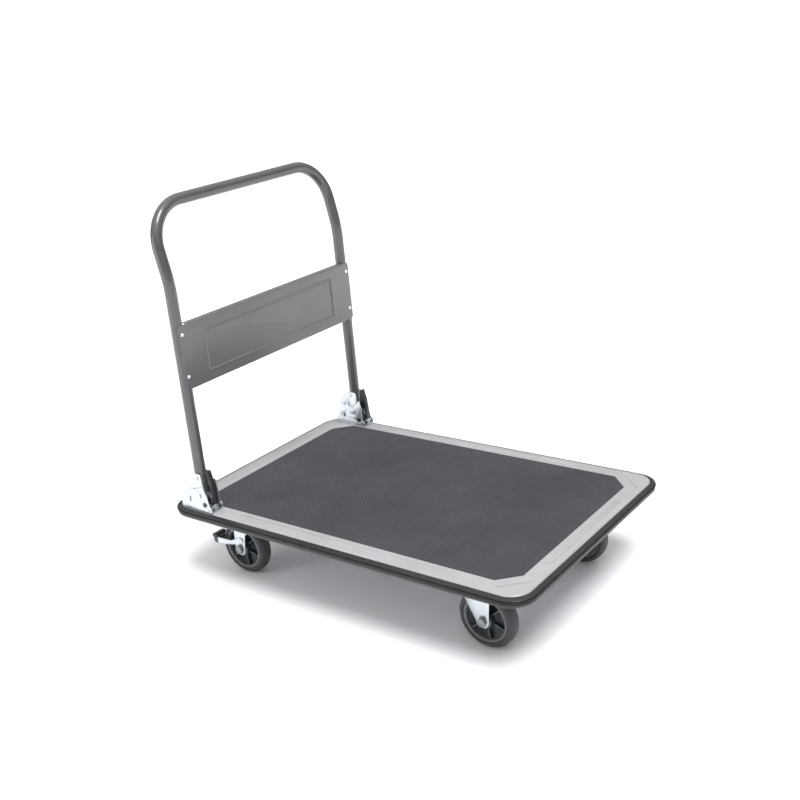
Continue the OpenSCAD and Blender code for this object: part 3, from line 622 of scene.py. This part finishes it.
@dataclass
class Platform(SubAssembly):
    """The pressed deck, its mat, its edge bumper and the channels under it."""

    corner: float = 0.042
    sheet: float = 0.002
    return_lip: float = 0.012
    fold: float = 0.006
    lower_fold: float = 0.0025
    bead_rise: float = 0.0012
    bead_radius: float = 0.0058
    side_bead: tuple[float, float] = (0.524, 0.012)
    side_bead_gap: float = 0.018
    end_bead: tuple[float, float] = (0.300, 0.012)
    end_bead_x: float = 0.424
    corner_bead: tuple[float, float] = (0.072, 0.004)
    corner_bead_radius: float = 0.0019
    corner_bead_spot: tuple[float, float] = (0.407, 0.243)
    mat_cut: float = 0.039
    mat_border: float = 0.0035
    stud_pitch: float = 0.0072
    stud_rise: float = 0.0009
    rib_drop: float = 0.009
    groove_depth: float = 0.0030
    lobe_setback: float = 0.0012

    def build(self) -> None:
        """Builds every piece of the platform."""
        self.deck()
        self.mat()
        self.bumper()
        for node in ("cross_channels", "long_channels"):
            self.eased(node, Ease.FORMED)
        for node in ("caster_bolts", "caster_nuts"):
            self.eased(node, Ease.TURNED)

    def deck(self) -> None:
        """The deck: one drawn pan with soft outer folds and pressed beads."""
        low, high = (Vector(c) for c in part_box("deck_pan"))
        top = high.z - self.bead_rise
        bm = bmesh.new()
        face = rounded_face(bm, (high.x - low.x, high.y - low.y), self.corner, 14)
        bmesh.ops.translate(bm, vec=(0.0, 0.0, top), verts=list(face.verts))
        thickened(bm, face, (0.0, 0.0, low.z - top))
        rounded(bm, level_edges(bm, top), self.fold, 5)
        rounded(bm, level_edges(bm, low.z), self.lower_fold, 3)
        floor = min(bm.faces, key=lambda f: f.calc_center_median().z)
        lip = self.return_lip - self.lower_fold
        bmesh.ops.inset_region(bm, faces=[floor], thickness=lip, use_even_offset=True)
        bmesh.ops.delete(bm, geom=[floor], context="FACES")
        bmesh.ops.recalc_face_normals(bm, faces=bm.faces)
        roof = max(bm.faces, key=lambda f: f.calc_center_median().z)
        if roof.normal.z < 0:
            bmesh.ops.reverse_faces(bm, faces=bm.faces)
        bmesh.ops.solidify(bm, geom=bm.faces, thickness=self.sheet)
        self._beads(bm, top)
        self.finish_piece("deck_pressing", bm, [DECK_PAINT], ["deck_pan"], 38.0)

    def _beads(self, bm: BMesh, top: float) -> None:
        """Adds the long side beads, the end beads and the free end's corner beads to the deck's top."""
        steps = ((0.0002, 0.00045), (0.0003, 0.00055), (0.0005, 0.0002))
        slim = ((0.0002, 0.0006), (0.0003, 0.0006))
        mat = middle("deck_mat")
        _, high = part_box("deck_mat")
        spot_x, spot_y = self.corner_bead_spot
        for side in Side:
            place = Matrix.Translation((0.0, side.value * (high[1] + self.side_bead_gap), top))
            raised_pad(bm, self.side_bead, self.bead_radius, place, steps)
            tilt = Matrix.Rotation(math.radians(-45.0 * side.value), 4, "Z")
            place = Matrix.Translation((spot_x, side.value * spot_y, top)) @ tilt
            raised_pad(bm, self.corner_bead, self.corner_bead_radius, place, slim)
        for end in (-1, 1):
            across = Matrix.Rotation(math.pi / 2, 4, "Z")
            place = Matrix.Translation((end * self.end_bead_x, mat.y, top)) @ across
            raised_pad(bm, self.end_bead, self.bead_radius, place, steps)

    def mat(self) -> None:
        """The rubber mat: cut corners, a plain border and rows of small studs set diagonally."""
        low, high = (Vector(c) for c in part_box("deck_mat"))
        centre = (low + high) / 2
        size = high - low
        skin = high.z - self.stud_rise
        bm = bmesh.new()
        count = int((size.x + size.y) / math.sqrt(2) / self.stud_pitch) + 2
        reach = count * self.stud_pitch / 2
        grid = bmesh.ops.create_grid(bm, x_segments=count, y_segments=count, size=reach)["verts"]
        diagonally = Matrix.Rotation(math.pi / 4, 4, "Z")
        moved(bm, Matrix.Translation((centre.x, centre.y, skin)) @ diagonally, grid)
        diagonal = Vector((size.x / 2, size.y / 2 - self.mat_cut, 0.0))
        for sx in (-1, 1):
            self._trim(bm, centre + Vector((sx * size.x / 2, 0, 0)), Vector((sx, 0, 0)))
            self._trim(bm, centre + Vector((0, sx * size.y / 2, 0)), Vector((0, sx, 0)))
            for sy in (-1, 1):
                point = centre + Vector((sx * diagonal.x, sy * diagonal.y, 0))
                self._trim(bm, point, Vector((sx, sy, 0)).normalized())
        inner = [f for f in bm.faces if len(f.verts) == 4 and f.calc_area() > 0.98 * self.stud_pitch ** 2
                 and all(self._inside(v.co, centre, size) for v in f.verts)]
        rim = [e for e in bm.edges if e.is_boundary]
        wall = drawn_on(bm, rim, Vector((0.0, 0.0, low.z - skin)))
        bmesh.ops.edgeloop_fill(bm, edges=wall)
        bmesh.ops.inset_individual(bm, faces=inner, thickness=self.stud_pitch * 0.2, depth=self.stud_rise,
                                   use_even_offset=True)
        bmesh.ops.recalc_face_normals(bm, faces=bm.faces)
        outer = [e for e in sharp_edges(bm.edges, 1.4) if all(abs(v.co.z - skin) < 1e-6 for v in e.verts)]
        rounded(bm, outer, 0.0006, 2)
        self.finish_piece("mat_sheet", bm, [MAT_RUBBER], ["deck_mat"], 30.0)

    @staticmethod
    def _trim(bm: BMesh, point: Vector, outwards: Vector) -> None:
        """Cuts the sheet at a plane and drops what is outside it."""
        geom = list(bm.verts) + list(bm.edges) + list(bm.faces)
        bmesh.ops.bisect_plane(bm, geom=geom, plane_co=point, plane_no=outwards, clear_outer=True, dist=1e-7)

    def _inside(self, point: Vector, centre: Vector, size: Vector) -> bool:
        """True if a point is on the mat and further than the border from its outline."""
        x, y = abs(point.x - centre.x), abs(point.y - centre.y)
        border = self.mat_border
        corner = size.x / 2 + size.y / 2 - self.mat_cut
        return x < size.x / 2 - border and y < size.y / 2 - border and x + y < corner - border * 1.5

    def bumper(self) -> None:
        """The rubber bumper: a two-lobed section with a thin rib between the lobes, swept round the deck."""
        low, high = (Vector(c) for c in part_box("edge_bumper"))
        deck_low, deck_high = (Vector(c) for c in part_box("deck_pan"))
        reach = high.x - deck_high.x
        top, bottom = high.z, low.z
        rib = deck_high.z - self.bead_rise - self.rib_drop
        groove, lobe = reach - self.groove_depth, reach - self.lobe_setback
        outline: Section = (
            ((0.0, top - 0.0004), 0.0), ((0.0030, top - 0.0008), 0.0015),
            ((reach - 0.0030, top - 0.0026), 0.0028), ((lobe, rib + 0.0030), 0.0010),
            ((groove, rib + 0.0017), 0.0004), ((groove, rib + 0.0008), 0.0003),
            ((reach, rib + 0.0009), 0.0005), ((reach, rib - 0.0009), 0.0005),
            ((groove, rib - 0.0008), 0.0003), ((groove, rib - 0.0017), 0.0004), ((lobe, rib - 0.0030), 0.0010),
            ((lobe, bottom + 0.0052), 0.0024), ((reach - 0.0045, bottom), 0.0030), ((0.0, bottom), 0.0),
        )
        near = -deck_high.y
        x0 = deck_low.x + self.corner
        bm = bmesh.new()
        loop = section_loop(bm, [(Vector((x0, near - u, v)), r) for (u, v), r in outline], 4)
        length, width = deck_high.x - deck_low.x - 2 * self.corner, 2 * deck_high.y - 2 * self.corner
        run, heading, centre = length, Vector((1.0, 0.0, 0.0)), Vector((x0, near + self.corner, 0.0))
        quarter = Matrix.Rotation(math.pi / 2, 3, "Z")
        for _ in range(4):
            loop = drawn_on(bm, loop, heading * run)
            centre = centre + heading * run
            loop = bent_on(bm, loop, centre, Vector((0.0, 0.0, 1.0)), math.pi / 2, 14)
            heading = quarter @ heading
            run = width if run == length else length
        bmesh.ops.remove_doubles(bm, verts=bm.verts, dist=2e-6)
        bmesh.ops.recalc_face_normals(bm, faces=bm.faces)
        self.finish_piece("bumper_strip", bm, [BUMPER_RUBBER], ["edge_bumper"], 40.0)


# ---------- handle ----------


@dataclass
class PushHandle(SubAssembly):
    """The bent tube, its plain panel and the plates riveted to its feet."""

    tube_radius: float = 0.0127
    bar_height: float = 0.8485
    flange_half: float = 0.2549
    wall: float = 0.0016
    bend_height: float = 0.692
    lean: float = math.radians(12.0)
    lean_radius: float = 0.250
    corner_radius: float = 0.090
    panel_round: float = 0.008
    panel_sheet: float = 0.0012
    ridge: float = 0.0016
    frame_size: tuple[float, float] = (0.424, 0.096)
    frame_round: float = 0.005
    frame_width: float = 0.0045
    lip_bend: float = 0.003
    lip_overlap: float = 0.0011
    lip_edge: float = 0.0004

    def build(self) -> None:
        """Builds the tube, the panel and what is riveted to them."""
        self.tube()
        self.panel()
        self.eased("panel_rivets", Ease.TURNED)
        self.eased("foot_bushes", Ease.CUT)
        self.eased("latch_catches", Ease.STAMPED)
        self.eased("sector_rivets", Ease.FORGED, 3)
        for side in Side:
            for face in ("outer", "inner"):
                self.eased(f"sector_{side.word}_{face}", Ease.CUT)

    def tube(self) -> None:
        """The tube: one leg, its lean, the corner and half of the bar, mirrored and given its wall."""
        bush = middle("foot_bushes")
        low, high = (Vector(c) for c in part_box("handle_tube"))
        radius = self.tube_radius
        leg_y = high.y - radius
        rise = self.lean_radius * math.tan(self.lean / 2)
        bm = bmesh.new()
        ring = bmesh.ops.create_circle(bm, cap_ends=False, segments=48, radius=radius)["verts"]
        bmesh.ops.translate(bm, vec=(bush.x, leg_y, low.z), verts=ring)
        loop = drawn_on(bm, list(bm.edges), Vector((0.0, 0.0, self.bend_height - rise - low.z)))
        pivot = Vector((bush.x - self.lean_radius, leg_y, self.bend_height - rise))
        loop = bent_on(bm, loop, pivot, Vector((0.0, -1.0, 0.0)), self.lean, 12)
        along = Vector((-math.sin(self.lean), 0.0, math.cos(self.lean)))
        start = pivot + Vector((math.cos(self.lean), 0.0, math.sin(self.lean))) * self.lean_radius
        run = (self.bar_height - start.z) / math.cos(self.lean) - self.corner_radius
        loop = drawn_on(bm, loop, along * run)
        inwards = Vector((0.0, -1.0, 0.0))
        centre = start + along * run + inwards * self.corner_radius
        loop = bent_on(bm, loop, centre, along.cross(inwards), math.pi / 2, 20)
        loop = drawn_on(bm, loop, inwards * (leg_y - self.corner_radius))
        half = list(bm.verts) + list(bm.edges) + list(bm.faces)
        bmesh.ops.mirror(bm, geom=half, matrix=Matrix.Identity(4), merge_dist=1e-5, axis="Y")
        bmesh.ops.remove_doubles(bm, verts=bm.verts, dist=1e-5)
        bmesh.ops.recalc_face_normals(bm, faces=bm.faces)
        bmesh.ops.solidify(bm, geom=bm.faces, thickness=self.wall)
        # The tube takes the darker copy of the handle paint; its darker colour is painted shade.
        self.finish_piece("handle_tube_bent", bm, [SHADED_TUBE_PAINT], ["handle_tube"], 45.0)

    def panel(self) -> None:
        """The panel: a sheet with folded lips and a pressed frame line, riveted to the legs."""
        low, high = (Vector(c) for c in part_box("handle_panel"))
        mid = (low + high) / 2
        face_x = high.x - self.ridge
        upright = Matrix.Rotation(math.pi / 2, 4, "Z") @ Matrix.Rotation(math.pi / 2, 4, "X")
        bm = bmesh.new()
        face = rounded_face(bm, (high.y - low.y, high.z - low.z), self.panel_round, 6)
        block = thickened(bm, face, (0.0, 0.0, self.panel_sheet))
        rounded(bm, sharp_edges({e for f in block for e in f.edges}, 1.0), 0.0004, 2)
        moved(bm, Matrix.Translation((face_x - self.panel_sheet, 0.0, mid.z)) @ upright, bm.verts)
        self._frame_line(bm, Matrix.Translation((face_x, 0.0, mid.z)) @ upright)
        for sign in (-1, 1):
            self._lip(bm, sign, mid.z + sign * (high.z - low.z) / 2, face_x, low.x)
        self.finish_piece("handle_panel_pressed", bm, [HANDLE_PAINT], ["handle_panel"], 40.0)

    def _frame_line(self, bm: BMesh, place: Matrix) -> None:
        """Adds the pressed line: a low closed ridge round a long rectangle."""
        known = set(bm.verts)
        face = rounded_face(bm, self.frame_size, self.frame_round, 5)
        band = bmesh.ops.inset_region(bm, faces=[face], thickness=self.frame_width, use_boundary=True,
                                      use_even_offset=True)["faces"]
        bmesh.ops.delete(bm, geom=[face], context="FACES")
        made = bmesh.ops.extrude_face_region(bm, geom=band)["geom"]
        bmesh.ops.translate(bm, vec=(0.0, 0.0, self.ridge), verts=verts_in(made))
        faces = list({f for v in since(bm.verts, known) for f in v.link_faces})
        bmesh.ops.recalc_face_normals(bm, faces=faces)
        crest = [e for e in sharp_edges({e for f in faces for e in f.edges}, 1.0)
                 if all(v.co.z > self.ridge * 0.9 for v in e.verts)]
        rounded(bm, crest, self.ridge * 0.6, 3)
        moved(bm, place, since(bm.verts, known))

    def _lip(self, bm: BMesh, sign: int, edge_z: float, face_x: float, back: float) -> None:
        """Adds one folded lip: a quarter bend from the sheet and a flat tongue behind it.

        Args:
            bm: The panel's mesh.
            sign: 1 for the upper lip, -1 for the lower one.
            edge_z: Height of the panel's edge.
            face_x: Where the panel's front face is.
            back: Where the tongue ends.
        """
        known = set(bm.faces)
        root, under = edge_z - sign * self.lip_bend, edge_z - sign * self.panel_sheet
        inner = face_x - self.lip_overlap
        outline: Section = (
            ((inner, root), 0.0), ((face_x, root), 0.0), ((face_x, edge_z), self.lip_bend),
            ((back, edge_z), self.lip_edge), ((back, under), self.lip_edge),
            ((inner, under), self.lip_bend - self.panel_sheet),
        )
        loop = section_loop(bm, [(Vector((x, -self.flange_half, z)), r) for (x, z), r in outline], 5)
        cap = bmesh.ops.edgeloop_fill(bm, edges=loop)["faces"]
        made = bmesh.ops.extrude_face_region(bm, geom=cap)["geom"]
        bmesh.ops.translate(bm, vec=(0.0, 2 * self.flange_half, 0.0), verts=verts_in(made))
        bmesh.ops.recalc_face_normals(bm, faces=since(bm.faces, known))


# ---------- fold hinge ----------


@dataclass
class FoldHinge(SubAssembly):
    """The two deck brackets with their pins, the release levers and their sleeves."""

    def build(self) -> None:
        """Builds both brackets and what is pinned to them."""
        for side in Side:
            self.eased(f"bracket_{side.word}", Ease.CUT)
            self.eased(f"lever_{side.word}", Ease.STAMPED)
            self.eased(f"lever_sleeve_{side.word}", Ease.MOULDED, 3)
        self.eased("bracket_bolts", Ease.CUT)
        self.eased("fold_pins", Ease.STAMPED, 3)
        self.eased("stop_pins", Ease.TURNED, finish=HARDENED)
        self.eased("lever_pins", Ease.TURNED)
        self.eased("lever_springs", Ease.NONE, finish=HARDENED)


# ---------- casters ----------


@dataclass
class Wheel(SubAssembly):
    """One wheel: a rounded rubber tyre on a ribbed plastic hub with two bearings."""

    kind: str = "fixed"
    side: Side = Side.RIGHT
    tyre_radius: float = 0.0625
    rim_radius: float = 0.050
    half_width: float = 0.016
    ring_inner: float = 0.0430
    boss_radius: float = 0.018
    bore: float = 0.0141
    web_half: float = 0.003
    web_root: float = 0.0045
    ribs: int = 6
    rib_angle: float = 20.0
    rib_size: tuple[float, float] = (0.022, 0.0026)
    rib_crest: float = 0.009

    def build(self) -> None:
        """Builds the tyre, the hub and the bearings."""
        self.tyre()
        self.hub()
        self.eased(f"bearings_{self.kind}_{self.side.word}", Ease.TURNED)

    def tyre(self) -> None:
        """The tyre: round shoulders, a tread with a faint middle line and a moulded step on each flank."""
        node = f"tyre_{self.kind}_{self.side.word}"
        w, r = self.half_width, self.tyre_radius
        half = (
            ((self.rim_radius, w - 0.0022), 0.0), ((self.rim_radius + 0.0016, w - 0.0022), 0.0004),
            ((self.rim_radius + 0.0022, w - 0.0006), 0.0005), ((self.rim_radius + 0.0046, w), 0.0012),
            ((r - 0.0062, w), 0.0030), ((r - 0.0004, w - 0.0062), 0.0040), ((r, 0.0016), 0.0010),
            ((r - 0.0005, 0.0004), 0.0003),
        )
        bm = bmesh.new()
        turned(bm, half + mirrored(half), middle(node), 112, 4)
        self.finish_piece(f"{node}_moulded", bm, [TYRE], [node], 50.0)

    def hub(self) -> None:
        """The hub: a grey outer ring, a dark dished web, stiffening ribs whose front faces take the ring's grey
        as a painted highlight, and a bored boss.
        """
        node = f"hub_{self.kind}_{self.side.word}"
        centre = middle(node)
        low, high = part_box(node)
        deep = (high[1] - low[1]) / 2
        bm = bmesh.new()
        turned(bm, self._ring(), centre, 96, 3)
        ring_faces = set(bm.faces)
        turned(bm, self._web(), centre, 72, 3)
        turned(bm, self._boss(deep), centre, 64, 3)
        for index in range(self.ribs):
            self._rib(bm, centre, math.radians(self.rib_angle + index * 360.0 / self.ribs))
        # Faces that look out sideways beyond the ribs' depth take the lighter ring finish: a painted highlight
        # on the rib fronts. The ring keeps its own grey.
        for face in bm.faces:
            crest = abs(face.normal.y) > 0.9 and abs(face.calc_center_median().y - centre.y) > self.rib_crest
            face.material_index = 1 if face in ring_faces or crest else 0
        self.finish_piece(f"{node}_moulded", bm, [HUB, HUB_RING_AND_HIGHLIGHT], [node], 40.0)

    def _ring(self) -> Section:
        """Section of the outer ring: a thick band with its edges broken."""
        r, i, w = self.rim_radius, self.ring_inner, self.half_width
        half = (((r, w - 0.0026), 0.0006), ((r - 0.0010, w - 0.0010), 0.0006),
                ((i + 0.0014, w - 0.0010), 0.0010), ((i, w - 0.0040), 0.0008))
        return half + mirrored(half)

    def _web(self) -> Section:
        """Section of the web between the ring and the boss."""
        i, b = self.ring_inner + 0.0005, self.boss_radius - 0.0005
        thin, root, run = self.web_half, self.web_root, 0.004
        half = (((i, root), 0.0), ((i - run, thin), 0.001), ((b + run, thin), 0.001), ((b, root), 0.0))
        return half + mirrored(half)

    def _boss(self, deep: float) -> Section:
        """Section of the boss, bored for the bearings."""
        b, bore = self.boss_radius, self.bore
        return (((b, 0.0), 0.0), ((b - 0.0006, deep), 0.0010), ((bore, deep), 0.0006),
                ((bore, -deep), 0.0006), ((b - 0.0006, -deep), 0.0010))

    def _rib(self, bm: BMesh, centre: Vector, angle: float) -> None:
        """Adds one straight rib between the boss and the ring, with round edges along it."""
        known = set(bm.verts)
        made = bmesh.ops.create_cube(bm, size=1.0)["verts"]
        length = self.ring_inner - self.boss_radius + 0.002
        bmesh.ops.scale(bm, vec=(length, *self.rib_size), verts=made)
        along = [e for e in {e for v in made for e in v.link_edges} if e.calc_length() > length * 0.99]
        rounded(bm, along, 0.0008, 2)
        shift = Matrix.Translation(((self.ring_inner + self.boss_radius) / 2, 0.0, 0.0))
        place = Matrix.Translation(centre) @ Matrix.Rotation(angle, 4, "Y") @ shift
        moved(bm, place, since(bm.verts, known))


@dataclass
class Caster(SubAssembly):
    """One caster: its fork, axle and wheel, and on the swivel ones the race, kingpin and brake."""

    side: Side = Side.RIGHT
    swivels: bool = False
    dip: float = 0.060

    def build(self) -> None:
        """Builds the caster."""
        word = self.side.word
        if self.swivels:
            self.eased(f"swivel_plate_{word}", Ease.FORMED)
            self.eased(f"kingpin_{word}", Ease.STAMPED)
            self.eased(f"swivel_fork_{word}", Ease.FORGED)
            self.eased(f"axle_swivel_{word}", Ease.CUT, finish=DARKER_AXLE_STEEL)
            self.eased(f"axle_nut_{word}", Ease.CUT, finish=DARKER_AXLE_STEEL)
            self.eased(f"swivel_balls_{word}", Ease.NONE)
            self.brake_arms(word)
            self.eased(f"brake_pedal_{word}", Ease.PADDED, 3)
        else:
            self.eased(f"fixed_fork_{word}", Ease.FORMED)
        wheel = Wheel(kind="swivel" if self.swivels else "fixed", side=self.side)
        wheel.build()
        self.made.extend(wheel.made)

    def brake_arms(self, word: str) -> None:
        """The brake's arms, whose ends are dipped in black plastic under the pedal."""
        self.eased(f"brake_lever_{word}", Ease.STAMPED)
        arms = self.made[-1].data
        arms.materials.append(BLACK_PLASTIC.material())
        edge = middle(f"tyre_swivel_{word}").x - self.dip
        for face in arms.polygons:
            face.material_index = 1 if face.center.x < edge else 0


# ---------- studio ----------


@dataclass
class Studio:
    """The floor, the light and the camera."""

    azimuth: float = 38.05
    elevation: float = 20.24
    roll: float = -5.38
    eye: tuple[float, float, float] = (1.3586, -1.7445, 1.2140)
    lens: float = 50.0
    sensor: float = 36.0
    horizon_light: float = 0.05
    ceiling_light: float = 0.98
    backdrop: float = 1.2
    key_way: tuple[float, float, float] = (0.40, -0.24, 1.0)
    key_strength: float = 2.9
    key_spread: float = 26.0
    side_place: tuple[float, float, float] = (-1.8, -2.6, 1.0)
    side_aim: tuple[float, float, float] = (0.0, 0.0, 0.3)
    side_size: float = 1.3
    side_power: float = 18.0
    floor_half: float = 30.0

    def build(self) -> None:
        """Sets the floor, the lights and the camera."""
        self.floor()
        self.world()
        self.key_light()
        self.side_light()
        self.camera()
        bpy.context.scene.view_settings.view_transform = "Standard"

    def floor(self) -> None:
        """A plain pale floor."""
        bm = bmesh.new()
        bmesh.ops.create_grid(bm, x_segments=1, y_segments=1, size=self.floor_half)
        mesh = bpy.data.meshes.new("studio_floor")
        bm.to_mesh(mesh)
        bm.free()
        floor = bpy.data.objects.new("studio_floor", mesh)
        bpy.context.scene.collection.objects.link(floor)
        made = bpy.data.materials.new("floor_paper")
        made.use_nodes = True
        w = Wiring(made.node_tree)
        shader = next(n for n in made.node_tree.nodes if n.type == "BSDF_PRINCIPLED")
        where = w.add("ShaderNodeTexCoord").outputs["Object"]
        tone = effect(w, "cloud_tone", Vector=where, Scale=0.8)
        w.feed(shader.inputs["Base Color"], w.blend(tone, (0.95, 0.948, 0.97), (0.96, 0.958, 0.98)))
        shader.inputs["Roughness"].default_value = 0.85
        shader.inputs["Specular IOR Level"].default_value = 0.1
        mesh.materials.append(made)

    def world(self) -> None:
        """White surroundings: lit from above and from the handle end, and plain white behind the cart."""
        world = bpy.data.worlds.new("studio_white")
        world.use_nodes = True
        world.node_tree.nodes.clear()
        w = Wiring(world.node_tree)
        way = w.add("ShaderNodeSeparateXYZ", {0: w.add("ShaderNodeTexCoord").outputs["Generated"]})
        height = w.spread(way.outputs["Z"], self.horizon_light, self.ceiling_light, 0.05, 0.85)
        lean = w.spread(way.outputs["X"], 1.15, 0.8, -0.9, 0.9)
        strength = w.math("MULTIPLY", height, lean)
        lit = w.add("ShaderNodeBackground", {"Color": (1.0, 1.0, 1.0), "Strength": strength})
        seen = w.add("ShaderNodeBackground", {"Color": (1.0, 1.0, 1.0), "Strength": self.backdrop})
        camera = w.add("ShaderNodeLightPath").outputs["Is Camera Ray"]
        mix = w.add("ShaderNodeMixShader", {0: camera, 1: lit.outputs[0], 2: seen.outputs[0]})
        out = w.add("ShaderNodeOutputWorld")
        w.feed(out.inputs["Surface"], mix.outputs[0])
        bpy.context.scene.world = world

    def key_light(self) -> None:
        """Adds the broad distant light from above."""
        way = Vector(self.key_way)
        data = bpy.data.lights.new("key_light", "SUN")
        data.energy = self.key_strength
        data.angle = math.radians(self.key_spread)
        self.hang(data, way * 3.0, way)

    def side_light(self) -> None:
        """Adds the square soft light that picks out the near side."""
        data = bpy.data.lights.new("side_light", "AREA")
        data.size = self.side_size
        data.energy = self.side_power
        place = Vector(self.side_place)
        self.hang(data, place, place - Vector(self.side_aim))

    @staticmethod
    def hang(data: bpy.types.Light, place: Vector, back: Vector) -> None:
        """Hangs a light.

        Args:
            data: The light.
            place: Where it hangs.
            back: The direction away from what it shines at.
        """
        lamp = bpy.data.objects.new(data.name, data)
        lamp.location = place
        lamp.rotation_mode = "QUATERNION"
        lamp.rotation_quaternion = back.to_track_quat("Z", "Y")
        bpy.context.scene.collection.objects.link(lamp)

    def camera(self) -> None:
        """The camera at the viewing angle, with its slight roll."""
        a, e, r = (math.radians(v) for v in (self.azimuth, self.elevation, self.roll))
        back = Vector((math.sin(a) * math.cos(e), -math.cos(a) * math.cos(e), math.sin(e)))
        right = Vector((0.0, 0.0, 1.0)).cross(back).normalized()
        up = back.cross(right)
        right, up = right * math.cos(r) + up * math.sin(r), up * math.cos(r) - right * math.sin(r)
        data = bpy.data.cameras.new("studio_camera")
        data.lens = self.lens
        data.sensor_width = self.sensor
        data.clip_end = 100.0
        camera = bpy.data.objects.new("studio_camera", data)
        turn = Matrix((right, up, back)).transposed().to_4x4()
        camera.matrix_world = Matrix.Translation(self.eye) @ turn
        bpy.context.scene.collection.objects.link(camera)
        bpy.context.scene.camera = camera


def main() -> None:
    """Builds the cart and its studio."""
    logging.basicConfig(level=logging.INFO, format="%(name)s %(message)s")
    Studio().build()
    casters = [Caster(side=side, swivels=swivels) for swivels in (False, True) for side in Side]
    assemblies: list[SubAssembly] = [Platform(), PushHandle(), FoldHinge(), *casters]
    for assembly in assemblies:
        assembly.build()
        LOG.info("%s: %d pieces", type(assembly).__name__, len(assembly.made))
    shared = SubAssembly()
    for node in ("fixed_axles", "fixed_axle_nuts"):
        shared.eased(node, Ease.CUT, finish=DARKER_AXLE_STEEL)


if __name__ == "__main__":
    main()
